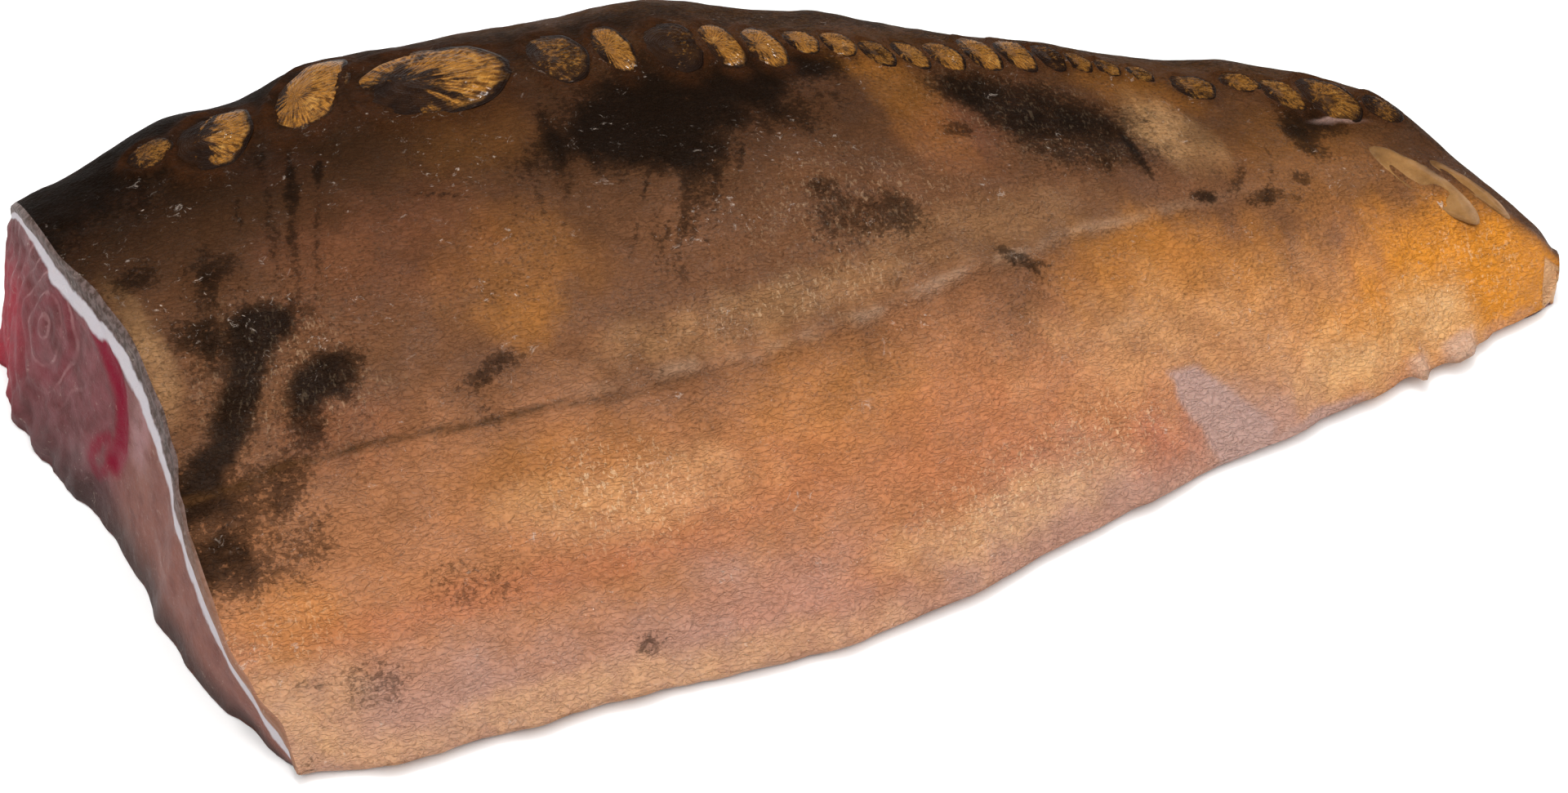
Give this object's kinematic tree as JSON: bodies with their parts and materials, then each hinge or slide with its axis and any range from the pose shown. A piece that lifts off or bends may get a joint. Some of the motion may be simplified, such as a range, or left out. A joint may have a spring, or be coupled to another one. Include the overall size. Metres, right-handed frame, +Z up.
{
  "type": "carp fillet",
  "caption": "Thick raw fish side lying skin side up, blunt head cut at one end, thin belly edge, row of large scales along the back.",
  "frame": {"origin": "middle of the flat underside, at the centre of the part's box seen from above", "axes": "+X along the fish towards the tail, +Y towards the back of the fish, +Z up, out of the skin"},
  "size_m": [0.337, 0.175, 0.0515],
  "materials": {
    "skin": "wet",
    "scale": "gloss"
  },
  "bodies": {
    "root": {"fillet": "skin", "scale_01": "scale", "scale_02": "scale", "scale_03": "scale", "scale_04": "scale", "scale_05": "scale", "scale_06": "scale", "scale_07": "scale", "scale_08": "scale", "scale_09": "scale", "scale_10": "scale", "scale_11": "scale", "scale_12": "scale", "scale_13": "scale", "scale_14": "scale", "scale_15": "scale", "scale_16": "scale", "scale_17": "scale", "scale_18": "scale", "scale_19": "scale", "scale_20": "scale", "scale_21": "scale", "scale_22": "scale", "scale_23": "scale", "scale_24": "scale", "scale_25": "scale", "scale_26": "scale", "scale_27": "scale"}
  },
  "joints": []
}
